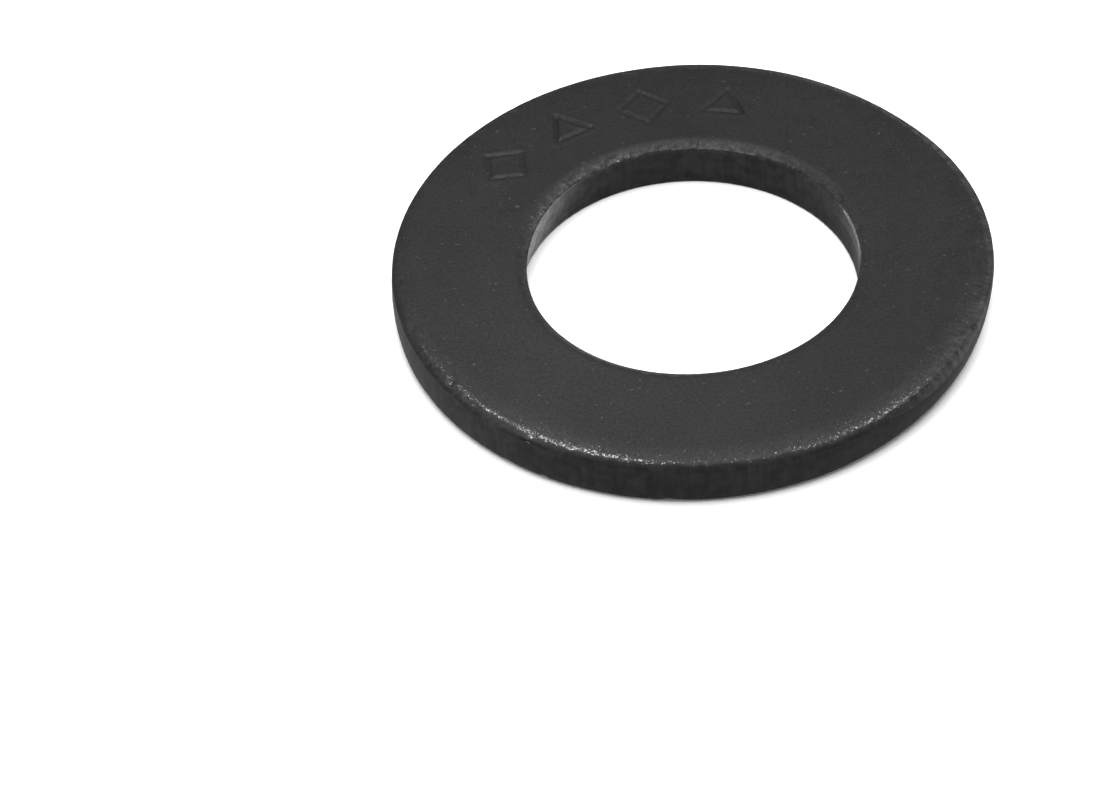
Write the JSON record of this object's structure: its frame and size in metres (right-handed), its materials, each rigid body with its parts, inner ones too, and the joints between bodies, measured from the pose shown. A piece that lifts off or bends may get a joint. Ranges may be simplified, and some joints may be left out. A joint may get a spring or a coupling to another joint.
{
  "type": "flat washer",
  "caption": "Thick round flat washer in black hardened steel, with rolled upper edges and a row of plain stamped outlines on its upper face. It spreads a bolt's load.",
  "frame": {"origin": "centre of the lower bearing face, on the bore's axis", "axes": "+Z along the bore's axis, from the lower bearing face to the stamped upper face; the row of stamped outlines lies from +Y round towards -X"},
  "size_m": [0.0508, 0.0508, 0.0043],
  "materials": {
    "black_oxide_steel": "dull black oxide over hardened steel, rubbed bright in specks along the corners"
  },
  "bodies": {
    "root": {"washer_ring": "black_oxide_steel"}
  },
  "joints": []
}
